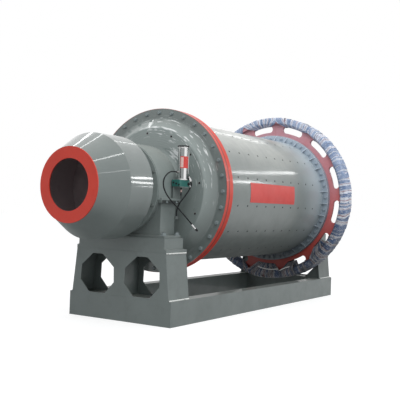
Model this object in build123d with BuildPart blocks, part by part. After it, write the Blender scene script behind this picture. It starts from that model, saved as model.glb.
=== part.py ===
"""Ball mill: a drum on two trunnion bearings over a welded base, with a girth gear at the drive end.

X runs along the mill from the feed end to the drive end, Z is up and the floor is Z = 0. Sizes are in mm.
"""

import os
from math import cos, pi, radians, sin, tan

from build123d import *

os.makedirs("parts", exist_ok=True)

# Drum
SHELL_R = 935.0
SHELL_T = 20.0
SHELL_LENGTH = 3187.0
FLANGE_RISE = 125.0
DRIVE_FLANGE_RISE = 94.0
FLANGE_T = 75.0
RIB_COUNT = 32
RIB_PHASE = 6.8
RIB_LENGTH = 85.0
RIB_T = 12.0
RIB_TIP = 4.0
RIB_GAP = 1.5
PLATE_LENGTH = 1330.0
PLATE_T = 3.0
PLATE_START = 755.0
PLATE_TOP_ANGLE = 9.1
PLATE_ARC = 16.1

# Heads and trunnions
HEAD_GAP = 320.0
DRIVE_HEAD_GAP = 248.0
HEAD_T = 90.0
HEAD_RISE = 112.0
HEAD_STEP = 5.0
HEAD_SLOPE = 130.0
HEAD_ROUND = 40.0
HEAD_CORNER = 25.0
NECK_R = 400.0
NECK_BLEND = 150.0
BORE_R = 300.0
NECK_REACH = 200.0
NECK_FLANGE_RISE = 80.0
NECK_FLANGE_T = 40.0

# Feed drum and discharge spout
FEED_DRUM_R = 615.0
FEED_DRUM_LENGTH = 400.0
FEED_CONE_LENGTH = 330.0
FEED_WALL = 12.0
LIP_R = 428.0
LIP_BORE_R = 294.0
LIP_T = 14.0
SPOUT_LENGTH = 130.0
SPOUT_FLARE = 60.0
SPOUT_WALL = 15.0

# Girth gear and its cloth wrap
MODULE = 16.0
GEAR_RISE = 236.0
WEB_T = 50.0
WEB_STEP = 10.0
WEB_RECESS = 72.0
FACE_WIDTH = 249.0
RIM_T = 41.0
SLOT_COUNT = 13
SLOT_PHASE = -10.0
SLOT_ARC = 13.0
SLOT_HEIGHT = 106.0
SLOT_MARGIN = 38.0
WRAP_T = 18.0
WRAP_CLEAR = 1.0
FLOOR_CLEAR = 280.0

# Base and pedestals
BASE_H = 300.0
BASE_LEDGE = 37.5
BASE_PLATE = 16.0
RAIL_W = 170.0
RAIL_WALL = 12.0
PEDESTAL_D = 390.0
PEDESTAL_FLARE = 60.0
PEDESTAL_PLATE = 14.0
SIDE_REACH = 35.0
HOLE_Y = 345.0
HOLE_SILL = 14.0
HOLE_HEAD = 59.0
HOLE_W = 530.0
HOLE_TAPER = 15.0
HOLE_TOP_W = 155.0
HOLE_FOOT_W = 255.0
TOP_PLATE_T = 40.0
TOP_PLATE_REACH = 40.0
TOP_PLATE_MARGIN = 5.0
PLINTH_H = 135.0
PLINTH_INSET = 25.0

# Main bearings
HOUSING_WALL = 105.0
HOUSING_INSET = 50.0
FOOT_SPREAD = 85.0
FOOT_INSET = 25.0
FOOT_T = 30.0
FOOT_MARGIN = 20.0
BARREL_SINK = 5.0
SPLIT_DROP = 135.0
LEDGE_SPREAD = 35.0
LEDGE_INSET = 15.0
LEDGE_T = 32.0
CAP_LEDGE_T = 30.0
CAP_WALL = 20.0
BUSH_T = 50.0
BUSH_D = 270.0
JOURNAL_CLEAR = 0.3
CAP_CLEAR = 25.0
SEAL_T = 14.0
SEAL_INSET = 7.0

# Grease pump by the feed bearing, placed in from the end plate, out from the ledge and up from it
PUMP_SIZE = (200.0, 128.0, 80.0)
PUMP_CHAMFER = 10.0
PUMP_AT = (336.0, 36.0, 144.0)
BRACKET_W = 180.0
BRACKET_T = 12.0
RESERVOIR_R = 62.0
RESERVOIR_H = 401.0
RESERVOIR_AT = (360.0, 47.0)
LID_R = 70.0
LID_T = 14.0
VALVE_SIZE = (22.0, 40.0, 60.0)
VALVE_Y = 57.0
VALVE_Z = 21.0
KNOB_FOOT = (37.6, 91.0, 212.0)
KNOB_TOP = (22.4, 67.4, 268.0)
KNOB_R = 20.0
PORT_R = 12.0
ELBOW_SIZE = (52.0, 28.0, 36.0)
HOSE_R = 8.0
TIP_R = 12.0
TIP_LENGTH = 120.0
HOSE_A = [
    (275.0, 14.0, 320.0),
    (215.0, 14.0, 320.0),
    (145.0, 24.0, 316.0),
    (58.0, 32.0, 284.0),
    (-8.0, 36.0, 226.0),
    (-24.0, 38.0, 150.0),
    (15.0, 42.0, 73.0),
    (85.0, 50.0, 0.0),
    (185.0, 62.0, -70.0),
    (285.0, 80.0, -143.0),
    (380.0, 104.0, -223.0),
    (470.0, 130.0, -305.0),
]
HOSE_B = [
    (473.6, 91.0, 212.0),
    (480.0, 101.0, 188.0),
    (454.0, 114.0, 156.0),
    (416.0, 114.0, 110.0),
    (384.0, 107.0, 69.0),
    (340.0, 90.0, 12.0),
    (314.0, 52.0, -50.0),
    (330.0, 15.0, -97.0),
    (362.0, -18.0, -132.0),
    (376.0, -34.0, -165.0),
    (376.0, -34.0, -215.0),
]

# Radii outwards from the shell and the trunnion
FLANGE_R = SHELL_R + FLANGE_RISE
DRIVE_FLANGE_R = SHELL_R + DRIVE_FLANGE_RISE
HEAD_STEP_R = SHELL_R - HEAD_STEP
HEAD_FACE_R = HEAD_STEP_R - HEAD_SLOPE
NECK_FLANGE_R = NECK_R + NECK_FLANGE_RISE
BUSH_R = NECK_R + BUSH_T
HOUSING_R = BUSH_R + HOUSING_WALL
TEETH = round(2 * (FLANGE_R + GEAR_RISE) / MODULE)
PITCH_R = MODULE * TEETH / 2
TOOTH_R = PITCH_R + MODULE
ROOT_R = PITCH_R - 1.25 * MODULE
RIM_R = ROOT_R - RIM_T
WRAP_R = TOOTH_R + WRAP_T

# Stations along the mill
BASE_LENGTH = 2 * (PEDESTAL_D + FLANGE_T) + HEAD_GAP + DRIVE_HEAD_GAP + SHELL_LENGTH + WEB_T
FEED_REACH = NECK_REACH + FEED_DRUM_LENGTH + FEED_CONE_LENGTH + LIP_T
DISCHARGE_REACH = NECK_REACH + SPOUT_LENGTH
FEED_X = FEED_REACH - (FEED_REACH + BASE_LENGTH + DISCHARGE_REACH) / 2
DRIVE_X = FEED_X + BASE_LENGTH
SHELL_X = FEED_X + PEDESTAL_D + HEAD_GAP + FLANGE_T
GEAR_X = SHELL_X + SHELL_LENGTH
RIM_X = GEAR_X - WEB_RECESS

# Heights: the wrapped gear clears the floor, and the pedestals make up what the bearings leave
AXIS_Z = WRAP_R + FLOOR_CLEAR
SPLIT_Z = AXIS_Z - SPLIT_DROP
LEDGE_TOP = SPLIT_Z + CAP_LEDGE_T
PLINTH_TOP = AXIS_Z - HOUSING_R + BARREL_SINK - FOOT_T
TOP_PLATE_Z = PLINTH_TOP - PLINTH_H - TOP_PLATE_T
PEDESTAL_H = TOP_PLATE_Z - BASE_H
HOLE_H = PEDESTAL_H - HOLE_SILL - HOLE_HEAD

# Widths, from the bearing down to the base
LEDGE_W = 2 * (HOUSING_R + LEDGE_SPREAD)
FOOT_W = 2 * (HOUSING_R + FOOT_SPREAD)
PLINTH_W = FOOT_W + 2 * FOOT_MARGIN
PEDESTAL_TOP_W = PLINTH_W + 2 * PLINTH_INSET
PEDESTAL_FOOT_W = PEDESTAL_TOP_W + 2 * PEDESTAL_FLARE
BASE_W = PEDESTAL_FOOT_W + 2 * BASE_LEDGE
MILL_AXIS = Axis((0, 0, AXIS_Z), (1, 0, 0))


class End:
    """One end of the mill: at(s) is the X of a station s mm in from that pedestal's outer face."""

    def __init__(self, name, x, inward, gap, flange_r):
        self.name = name
        self.x = x
        self.inward = inward
        self.gap = gap
        self.flange_r = flange_r

    def at(self, s):
        return self.x + self.inward * s

    def middle(self, s, depth):
        return self.at(s + depth / 2)


FEED = End("feed", FEED_X, 1, HEAD_GAP, FLANGE_R)
DRIVE = End("drive", DRIVE_X, -1, DRIVE_HEAD_GAP, DRIVE_FLANGE_R)


def save(name, builder):
    builder.part.label = name
    export_step(builder.part, f"parts/{name}.step")


def section(angle=90.0):
    """Plane through the mill's axis: local x runs along X, local y outwards, angle up from the near side."""
    a = radians(angle)
    return Plane(origin=(0, 0, AXIS_Z), x_dir=(1, 0, 0), z_dir=(0, -sin(a), -cos(a)))


def across(x):
    """Plane across the mill at x: local x is Y, local y is Z."""
    return Plane(origin=(x, 0, 0), x_dir=(0, 1, 0), z_dir=(1, 0, 0))


def wheel(x):
    """Plane across the mill at x about its axis, angles going up from the near side, normal to -X."""
    return Plane(origin=(x, 0, AXIS_Z), x_dir=(0, -1, 0), z_dir=(-1, 0, 0))


def turned(points):
    with BuildPart() as body:
        with BuildSketch(section()):
            with BuildLine():
                Polyline(*points, close=True)
            make_face()
        revolve(axis=MILL_AXIS)
    return body


def block(x, y, z, size):
    """A box centred on x and y that stands on z."""
    with Locations((x, y, z)):
        Box(*size, align=(Align.CENTER, Align.CENTER, Align.MIN))


# Base: two box rails, with an end plate, deck and cross plate under each pedestal
def rail(side):
    with BuildPart() as body:
        with BuildSketch(across(FEED_X + BASE_PLATE)):
            with Locations((side * (BASE_W - RAIL_W) / 2, BASE_H / 2)):
                Rectangle(RAIL_W, BASE_H)
                Rectangle(RAIL_W - 2 * RAIL_WALL, BASE_H - 2 * RAIL_WALL, mode=Mode.SUBTRACT)
        extrude(amount=BASE_LENGTH - 2 * BASE_PLATE)
    return body


def end_box(end):
    inside_w = BASE_W - 2 * RAIL_W
    deck_d = PEDESTAL_D - BASE_PLATE
    with BuildPart() as body:
        block(end.middle(0, BASE_PLATE), 0, 0, (BASE_PLATE, BASE_W, BASE_H))
        block(end.middle(BASE_PLATE, deck_d), 0, BASE_H - BASE_PLATE, (deck_d, inside_w, BASE_PLATE))
        block(end.middle(deck_d, BASE_PLATE), 0, 0, (BASE_PLATE, inside_w, BASE_H))
    return body


# Pedestals: plates with two eight-sided openings, slanted sides, a web, and a plinth on a top plate
def hole_outline(side):
    sill = BASE_H + HOLE_SILL
    middle = side * HOLE_Y
    levels = ((HOLE_FOOT_W, 0.0), (HOLE_W, 0.3), (HOLE_W - HOLE_TAPER, 0.68), (HOLE_TOP_W, 1.0))
    right = [(middle + w / 2, sill + share * HOLE_H) for w, share in levels]
    left = [(middle - w / 2, sill + share * HOLE_H) for w, share in reversed(levels)]
    return right + left


def pedestal_plate(end, s, inset):
    """A plate from s inwards, its slanted edges inset from the pedestal's outline."""
    foot, top = PEDESTAL_FOOT_W / 2 - inset, PEDESTAL_TOP_W / 2 - inset
    with BuildPart() as body:
        with BuildSketch(across(end.at(s))):
            with BuildLine():
                Polyline((-foot, BASE_H), (foot, BASE_H), (top, TOP_PLATE_Z), (-top, TOP_PLATE_Z), close=True)
            make_face()
            for side in (-1, 1):
                with BuildLine():
                    Polyline(*hole_outline(side), close=True)
                make_face(mode=Mode.SUBTRACT)
        extrude(amount=end.inward * PEDESTAL_PLATE)
    return body


def pedestal_sides(end):
    foot, top = PEDESTAL_FOOT_W / 2, PEDESTAL_TOP_W / 2
    with BuildPart() as body:
        with BuildSketch(across(end.at(PEDESTAL_PLATE))):
            for side in (-1, 1):
                outer = [(side * foot, BASE_H), (side * top, TOP_PLATE_Z)]
                inner = [(y - side * PEDESTAL_PLATE, z) for y, z in reversed(outer)]
                with BuildLine():
                    Polyline(*outer, *inner, close=True)
                make_face()
        extrude(amount=end.inward * (PEDESTAL_D + SIDE_REACH - PEDESTAL_PLATE))
    return body


def pedestal_web(end):
    depth = PEDESTAL_D - 2 * PEDESTAL_PLATE
    with BuildPart() as body:
        block(end.middle(PEDESTAL_PLATE, depth), 0, BASE_H, (depth, PEDESTAL_PLATE, PEDESTAL_H))
    return body


def plinth(end):
    top_d = PEDESTAL_D + TOP_PLATE_REACH
    top_w = PEDESTAL_TOP_W + 2 * TOP_PLATE_MARGIN
    with BuildPart() as body:
        block(end.middle(0, top_d), 0, TOP_PLATE_Z, (top_d, top_w, TOP_PLATE_T))
        block(end.middle(0, PEDESTAL_D), 0, TOP_PLATE_Z + TOP_PLATE_T, (PEDESTAL_D, PLINTH_W, PLINTH_H))
    return body


# Main bearings: split housing with a bush under the journal, a hollow cap over it and a seal ring outside
def bearing_base(end):
    middle = end.middle(0, PEDESTAL_D)
    foot_top = PLINTH_TOP + FOOT_T
    ledge_z = SPLIT_Z - LEDGE_T
    with BuildPart() as body:
        with BuildSketch(wheel(middle)):
            Circle(HOUSING_R)
            with Locations((0, -SPLIT_DROP)):
                Rectangle(4 * HOUSING_R, 4 * HOUSING_R, align=(Align.CENTER, Align.MIN), mode=Mode.SUBTRACT)
        extrude(amount=PEDESTAL_D / 2, both=True)
        block(middle, 0, PLINTH_TOP, (PEDESTAL_D - 2 * FOOT_INSET, FOOT_W, FOOT_T))
        block(middle, 0, foot_top, (PEDESTAL_D - 2 * HOUSING_INSET, 2 * HOUSING_R, ledge_z - foot_top))
        block(middle, 0, ledge_z, (PEDESTAL_D - 2 * LEDGE_INSET, LEDGE_W, LEDGE_T))
        with BuildSketch(wheel(middle)):
            Circle(BUSH_R)
        extrude(amount=PEDESTAL_D, both=True, mode=Mode.SUBTRACT)
    return body


def bearing_bush(end):
    middle = end.middle(0, PEDESTAL_D)
    with BuildPart() as body:
        with BuildSketch(wheel(middle)):
            Circle(BUSH_R)
            Circle(NECK_R + JOURNAL_CLEAR, mode=Mode.SUBTRACT)
            with Locations((0, -SPLIT_DROP)):
                Rectangle(4 * NECK_R, 4 * NECK_R, align=(Align.CENTER, Align.MIN), mode=Mode.SUBTRACT)
        extrude(amount=BUSH_D / 2, both=True)
    return body


def arch(radius, drop):
    """A half circle above the mill's axis on straight legs that reach drop below it."""
    Circle(radius)
    Rectangle(2 * radius, drop, align=(Align.CENTER, Align.MAX))
    with Locations((0, -drop)):
        Rectangle(4 * radius, 2 * radius, align=(Align.CENTER, Align.MAX), mode=Mode.SUBTRACT)


def bearing_cap(end):
    middle = end.middle(0, PEDESTAL_D)
    with BuildPart() as body:
        with BuildSketch(wheel(middle)):
            arch(HOUSING_R, SPLIT_DROP)
        extrude(amount=PEDESTAL_D / 2, both=True)
        block(middle, 0, SPLIT_Z, (PEDESTAL_D - 2 * LEDGE_INSET, LEDGE_W, CAP_LEDGE_T))
        with BuildSketch(wheel(middle)):
            arch(HOUSING_R - CAP_WALL, SPLIT_DROP)
        extrude(amount=PEDESTAL_D / 2 - CAP_WALL, both=True, mode=Mode.SUBTRACT)
        with BuildSketch(wheel(middle)):
            arch(NECK_R + CAP_CLEAR, SPLIT_DROP)
        extrude(amount=PEDESTAL_D, both=True, mode=Mode.SUBTRACT)
    return body


def ring(x0, x1, inner, outer):
    return turned([(x0, inner), (x0, outer), (x1, outer), (x1, inner)])


def seal_ring(end):
    return ring(end.at(-SEAL_T), end.at(0), NECK_R + CAP_CLEAR, HOUSING_R - SEAL_INSET)


# Drum: shell, flanges, heads cast with their trunnions, feed drum, lip and spout
def rib_solid():
    """One rib in the frame of wheel(): x outwards, z towards -X, its root a weld gap off the shell."""
    root = SHELL_R + RIB_GAP
    height = DRIVE_FLANGE_RISE - RIB_TIP
    with BuildPart() as body:
        with BuildSketch(Plane.XZ):
            with BuildLine():
                Polyline((root, 0), (root + height, 0), (root, RIB_LENGTH), close=True)
            make_face()
        extrude(amount=RIB_T / 2, both=True)
    return body.part


def drive_flange():
    with BuildPart() as body:
        with BuildSketch(wheel(GEAR_X)):
            Circle(DRIVE_FLANGE_R)
            Circle(SHELL_R, mode=Mode.SUBTRACT)
        extrude(amount=FLANGE_T)
        with Locations(wheel(GEAR_X - FLANGE_T)):
            with PolarLocations(0, RIB_COUNT, start_angle=RIB_PHASE):
                add(rib_solid())
    return body


def circle_at(body, x, radius):
    """The round edge of a turned form at a station and radius."""
    rounds = body.edges().filter_by(GeomType.CIRCLE)
    return [e for e in rounds if abs(e.arc_center.X - x) < 0.1 and abs(e.radius - radius) < 0.1]


def head(end):
    seat = PEDESTAL_D + end.gap + FLANGE_T
    front = seat - FLANGE_T
    face = front - HEAD_RISE
    blend = face - NECK_BLEND
    neck_back = -NECK_REACH + NECK_FLANGE_T
    swing = NECK_BLEND * sin(radians(45))
    blend_middle = (end.at(blend + swing), NECK_R + NECK_BLEND - swing)
    with BuildPart() as body:
        with BuildSketch(section()):
            with BuildLine():
                Polyline(
                    (end.at(blend), NECK_R),
                    (end.at(neck_back), NECK_R),
                    (end.at(neck_back), NECK_FLANGE_R),
                    (end.at(-NECK_REACH), NECK_FLANGE_R),
                    (end.at(-NECK_REACH), BORE_R),
                    (end.at(face + HEAD_T), BORE_R),
                    (end.at(face + HEAD_T), HEAD_FACE_R - SHELL_T / 2),
                    (end.at(seat), SHELL_R - SHELL_T),
                    (end.at(seat), end.flange_r),
                    (end.at(front), end.flange_r),
                    (end.at(front), HEAD_STEP_R),
                    (end.at(face), HEAD_FACE_R),
                    (end.at(face), NECK_R + NECK_BLEND),
                )
                ThreePointArc((end.at(face), NECK_R + NECK_BLEND), blend_middle, (end.at(blend), NECK_R))
            make_face()
        revolve(axis=MILL_AXIS)
        for place, radius, rounding in ((face, HEAD_FACE_R, HEAD_ROUND), (front, HEAD_STEP_R, HEAD_CORNER)):
            fillet(circle_at(body, end.at(place), radius), rounding)
    return body


def feed_drum():
    slope = (FEED_DRUM_R - LIP_R) / FEED_CONE_LENGTH
    thick = FEED_WALL * (1 + slope**2) ** 0.5
    back = FEED.at(-NECK_REACH)
    ridge = FEED.at(-NECK_REACH - FEED_DRUM_LENGTH)
    front = ridge - FEED_CONE_LENGTH
    inner_ridge = ridge + (thick - FEED_WALL) / slope
    return turned(
        [
            (back, FEED_DRUM_R),
            (ridge, FEED_DRUM_R),
            (front, LIP_R),
            (front, LIP_R - thick),
            (inner_ridge, FEED_DRUM_R - FEED_WALL),
            (back, FEED_DRUM_R - FEED_WALL),
        ]
    )


def spout():
    face = DRIVE.at(-NECK_REACH)
    plate = face + NECK_FLANGE_T / 2
    tip = face + SPOUT_LENGTH
    return turned(
        [
            (face, BORE_R),
            (face, NECK_FLANGE_R),
            (plate, NECK_FLANGE_R),
            (plate, BORE_R + SPOUT_WALL),
            (tip, BORE_R + SPOUT_FLARE + SPOUT_WALL),
            (tip, BORE_R + SPOUT_FLARE),
            (plate, BORE_R),
        ]
    )


def marker_plate():
    x0 = SHELL_X + PLATE_START
    with BuildPart() as body:
        with BuildSketch(section(PLATE_TOP_ANGLE)):
            with Locations((x0 + PLATE_LENGTH / 2, SHELL_R + PLATE_T / 2)):
                Rectangle(PLATE_LENGTH, PLATE_T)
        revolve(axis=MILL_AXIS, revolution_arc=PLATE_ARC)
    return body


# Girth gear: slotted web bolted between shell flange and head, toothed rim reaching out on both sides of it
def tooth_outline():
    """Straight-flanked teeth, 20 degree pressure angle, as points round the gear."""
    half_pitch = pi * MODULE / 4
    tip_half = (half_pitch - MODULE * tan(radians(20))) / TOOTH_R
    root_half = (half_pitch + 1.25 * MODULE * tan(radians(20))) / ROOT_R
    points = []
    for tooth in range(TEETH):
        middle = 2 * pi * tooth / TEETH
        flanks = ((ROOT_R, -root_half), (TOOTH_R, -tip_half), (TOOTH_R, tip_half), (ROOT_R, root_half))
        points += [(r * cos(middle + a), r * sin(middle + a)) for r, a in flanks]
    return points


def girth_gear():
    slot_r = RIM_R - SLOT_MARGIN - SLOT_HEIGHT / 2
    with BuildPart() as body:
        with BuildSketch(wheel(RIM_X)):
            with BuildLine():
                Polyline(*tooth_outline(), close=True)
            make_face()
            Circle(RIM_R, mode=Mode.SUBTRACT)
        extrude(amount=-FACE_WIDTH)
        with BuildSketch(wheel(GEAR_X)):
            Circle(RIM_R)
            Circle(SHELL_R + WEB_STEP, mode=Mode.SUBTRACT)
            for slot in range(SLOT_COUNT):
                start = SLOT_PHASE + 360 * slot / SLOT_COUNT - SLOT_ARC / 2
                with BuildLine() as path:
                    CenterArc((0, 0), slot_r, start, SLOT_ARC)
                SlotArc(path.edge(), SLOT_HEIGHT, mode=Mode.SUBTRACT)
        extrude(amount=-WEB_T)
    return body


def gear_wrap():
    """The cloth wound on the rim, as one plain ring round its front, teeth, back and inner sides."""
    front, back = RIM_X, RIM_X + FACE_WIDTH
    web_front = GEAR_X - 4 * WRAP_CLEAR
    web_back = GEAR_X + WEB_T + 4 * WRAP_CLEAR
    inner = RIM_R - WRAP_T
    return turned(
        [
            (web_front, inner),
            (front - WRAP_T, inner),
            (front - WRAP_T, WRAP_R),
            (back + WRAP_T, WRAP_R),
            (back + WRAP_T, inner),
            (web_back, inner),
            (web_back, RIM_R - WRAP_CLEAR),
            (back, RIM_R - WRAP_CLEAR),
            (back, TOOTH_R + WRAP_CLEAR),
            (front, TOOTH_R + WRAP_CLEAR),
            (front, RIM_R - WRAP_CLEAR),
            (web_front, RIM_R - WRAP_CLEAR),
        ]
    )


# Grease pump with its bracket, reservoir, valve and hoses
def pump_point(place):
    """In from the feed end plate, out from the bearing ledge's near edge and up from the ledge."""
    return FEED.at(place[0]), -LEDGE_W / 2 - place[1], LEDGE_TOP + place[2]


def pump_bracket():
    """An angle: one leg stands on the ledge's edge, the other carries the pump."""
    x, y, z = pump_point(PUMP_AT)
    edge = -LEDGE_W / 2
    reach = edge - (y - PUMP_SIZE[1] / 2)
    with BuildPart() as body:
        block(x, edge + BRACKET_T / 2, LEDGE_TOP, (BRACKET_W, BRACKET_T, z - LEDGE_TOP))
        block(x, edge - reach / 2, z - BRACKET_T, (BRACKET_W, reach, BRACKET_T))
    return body


def pump_body():
    with BuildPart() as body:
        block(*pump_point(PUMP_AT), PUMP_SIZE)
        chamfer(body.edges().filter_by(Axis.Z), PUMP_CHAMFER)
    return body


def upright(height, radius, length):
    """A round piece over the reservoir's place, standing at height above the ledge."""
    with BuildPart() as body:
        with Locations(pump_point((*RESERVOIR_AT, height))):
            Cylinder(radius, length, align=(Align.CENTER, Align.CENTER, Align.MIN))
    return body


def pump_valve():
    """A block on the pump's end face and the slanted round valve at its outer corner."""
    x, y, z = pump_point(PUMP_AT)
    face = x + PUMP_SIZE[0] / 2
    edge = -LEDGE_W / 2
    foot, top = (Vector(face + s, edge - d, LEDGE_TOP + h) for s, d, h in (KNOB_FOOT, KNOB_TOP))
    with BuildPart() as body:
        block(face + VALVE_SIZE[0] / 2, edge - VALVE_Y, z + VALVE_Z, VALVE_SIZE)
        with BuildSketch(Plane(origin=foot, z_dir=top - foot)):
            Circle(KNOB_R)
        extrude(amount=(top - foot).length)
    return body


def corner_radii(points):
    """For each inner corner, the bend that takes 0.45 of its shorter run."""
    radii = []
    for before, corner, after in zip(points, points[1:], points[2:]):
        a, b = Vector(*corner) - Vector(*before), Vector(*after) - Vector(*corner)
        radii.append(0.45 * min(a.length, b.length) / tan(radians(a.get_angle(b)) / 2))
    return radii


def hose(points):
    run = [pump_point(p) for p in points]
    start = Vector(*run[0])
    with BuildPart() as body:
        with BuildLine() as path:
            FilletPolyline(*run, radius=corner_radii(run))
        with BuildSketch(Plane(origin=start, z_dir=Vector(*run[1]) - start)):
            Circle(HOSE_R)
        sweep(path=path.line)
    return body


def hose_tip(points):
    """A straight end fitting that carries on from a hose's last run."""
    start, end = (Vector(*pump_point(p)) for p in points[-2:])
    with BuildPart() as body:
        with BuildSketch(Plane(origin=end, z_dir=end - start)):
            Circle(TIP_R)
        extrude(amount=TIP_LENGTH)
    return body


def reservoir_port():
    """The stub on the reservoir's back that hose A leaves from."""
    x, y, z = pump_point(HOSE_A[0])
    centre_x, centre_y, _ = pump_point((*RESERVOIR_AT, 0))
    with BuildPart() as body:
        with BuildSketch(Plane(origin=(x, y, z), z_dir=(1, 0, 0))):
            Circle(PORT_R)
        extrude(amount=centre_x - x)
        with Locations((centre_x, centre_y, z)):
            Cylinder(RESERVOIR_R, 4 * PORT_R, mode=Mode.SUBTRACT)
    return body


def elbow():
    """The fitting on the housing's inner face that hose B ends in."""
    _, y, z = pump_point(HOSE_B[-1])
    with BuildPart() as body:
        block(FEED.middle(PEDESTAL_D - HOUSING_INSET, ELBOW_SIZE[0]), y, z - ELBOW_SIZE[2], ELBOW_SIZE)
    return body


save("near_rail", rail(-1))
save("far_rail", rail(1))
for mill_end in (FEED, DRIVE):
    name = mill_end.name
    save(f"{name}_base_box", end_box(mill_end))
    save(f"{name}_pedestal_front", pedestal_plate(mill_end, 0, 0))
    save(f"{name}_pedestal_back", pedestal_plate(mill_end, PEDESTAL_D - PEDESTAL_PLATE, PEDESTAL_PLATE))
    save(f"{name}_pedestal_sides", pedestal_sides(mill_end))
    save(f"{name}_pedestal_web", pedestal_web(mill_end))
    save(f"{name}_plinth", plinth(mill_end))
    save(f"{name}_bearing_base", bearing_base(mill_end))
    save(f"{name}_bearing_bush", bearing_bush(mill_end))
    save(f"{name}_bearing_cap", bearing_cap(mill_end))
    save(f"{name}_seal_ring", seal_ring(mill_end))
    save(f"{name}_head", head(mill_end))

save("shell", ring(SHELL_X, GEAR_X, SHELL_R - SHELL_T, SHELL_R))
save("feed_shell_flange", ring(SHELL_X, SHELL_X + FLANGE_T, SHELL_R, FLANGE_R))
save("drive_shell_flange", drive_flange())
save("marker_plate", marker_plate())
save("girth_gear", girth_gear())
save("gear_wrap", gear_wrap())
drum_back = FEED.at(-NECK_REACH)
save("feed_drum", feed_drum())
save("feed_drum_back", ring(drum_back - FEED_WALL, drum_back, BORE_R, FEED_DRUM_R - FEED_WALL))
lip_x = FEED.at(-FEED_REACH)
save("feed_lip", ring(lip_x, lip_x + LIP_T, LIP_BORE_R, LIP_R))
save("discharge_spout", spout())

pump_top = PUMP_AT[2] + PUMP_SIZE[2]
save("pump_bracket", pump_bracket())
save("pump_body", pump_body())
save("pump_reservoir", upright(pump_top, RESERVOIR_R, RESERVOIR_H))
save("reservoir_lid", upright(pump_top + RESERVOIR_H, LID_R, LID_T))
save("pump_valve", pump_valve())
save("hose_a", hose(HOSE_A))
save("hose_b", hose(HOSE_B))
save("hose_a_tip", hose_tip(HOSE_A))
save("reservoir_port", reservoir_port())
save("hose_b_elbow", elbow())
print("hose bends", [round(r) for r in corner_radii(HOSE_A)], [round(r) for r in corner_radii(HOSE_B)])
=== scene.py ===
"""Ball mill: paint, fasteners, weld seams, grease fittings and the cloth wound on the gear, over the fixed frame."""

import math
import random

import bpy
from mathutils import Matrix, Vector, noise


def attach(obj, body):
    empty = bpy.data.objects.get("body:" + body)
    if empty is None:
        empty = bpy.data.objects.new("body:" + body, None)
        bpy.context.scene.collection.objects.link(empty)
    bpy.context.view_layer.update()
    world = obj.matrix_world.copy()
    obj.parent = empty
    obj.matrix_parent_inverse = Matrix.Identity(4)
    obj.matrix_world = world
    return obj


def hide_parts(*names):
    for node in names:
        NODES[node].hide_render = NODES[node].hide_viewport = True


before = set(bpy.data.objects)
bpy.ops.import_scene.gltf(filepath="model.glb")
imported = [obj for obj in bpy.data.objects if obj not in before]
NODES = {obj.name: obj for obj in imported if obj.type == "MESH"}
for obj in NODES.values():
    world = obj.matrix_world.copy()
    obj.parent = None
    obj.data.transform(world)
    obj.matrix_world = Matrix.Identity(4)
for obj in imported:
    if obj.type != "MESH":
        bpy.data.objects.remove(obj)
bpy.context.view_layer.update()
scene = bpy.context.scene
scene.view_settings.view_transform = "Standard"

# Main stations in metres: the mill's axis runs along X, the feed end at -X, the photo's near side at -Y
AXIS = 1.61  # height of the axis
FEED_X, DRIVE_X = -2.0605, 2.6745  # outer faces of the two pedestals
GEAR_X = 1.9115  # front face of the gear's web
HEAD_FRONT = {"feed": 0.710, "drive": 0.638}  # bolted rim of each head, in from its pedestal's outer face
HEAD_FACE = {"feed": 0.598, "drive": 0.526}  # flat middle of each head, in from the same face
BOLT_R = {"feed": 1.005, "drive": 0.985}
SHELL_R = 0.935
HEAD_JOINT = -1.2755  # where the feed head's rim meets the shell's flange
FLANGE_BACK = -1.2005  # back of that flange
RIM_R = 1.0571  # the feed head is grey inside this radius and orange outside it
RESERVOIR_X, RESERVOIR_Y = FEED_X + 0.360, -0.637  # upright axis of the pump's reservoir

# Camera, fitted to the photo
CAMERA_AT = (-9.0165, -5.6199, 1.4071)
FOCAL_PX, IMAGE_PX, SENSOR_MM = 732.57, 400.0, 36.0


def make_camera():
    yaw, pitch, roll = 0.573, 0.0101, 0.0347
    ahead = Vector((math.cos(yaw) * math.cos(pitch), math.sin(yaw) * math.cos(pitch), math.sin(pitch)))
    right = Vector((math.sin(yaw), -math.cos(yaw), 0.0))
    up = right.cross(ahead)
    turned_right = math.cos(roll) * right + math.sin(roll) * up
    turned_up = math.cos(roll) * up - math.sin(roll) * right
    data = bpy.data.cameras.new("camera")
    data.sensor_width = SENSOR_MM
    data.lens = FOCAL_PX * SENSOR_MM / IMAGE_PX
    data.clip_end = 200.0
    camera = bpy.data.objects.new("camera", data)
    turn = Matrix((turned_right, turned_up, -ahead)).transposed()
    camera.matrix_world = Matrix.Translation(CAMERA_AT) @ turn.to_4x4()
    scene.collection.objects.link(camera)
    scene.camera = camera


make_camera()


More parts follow.
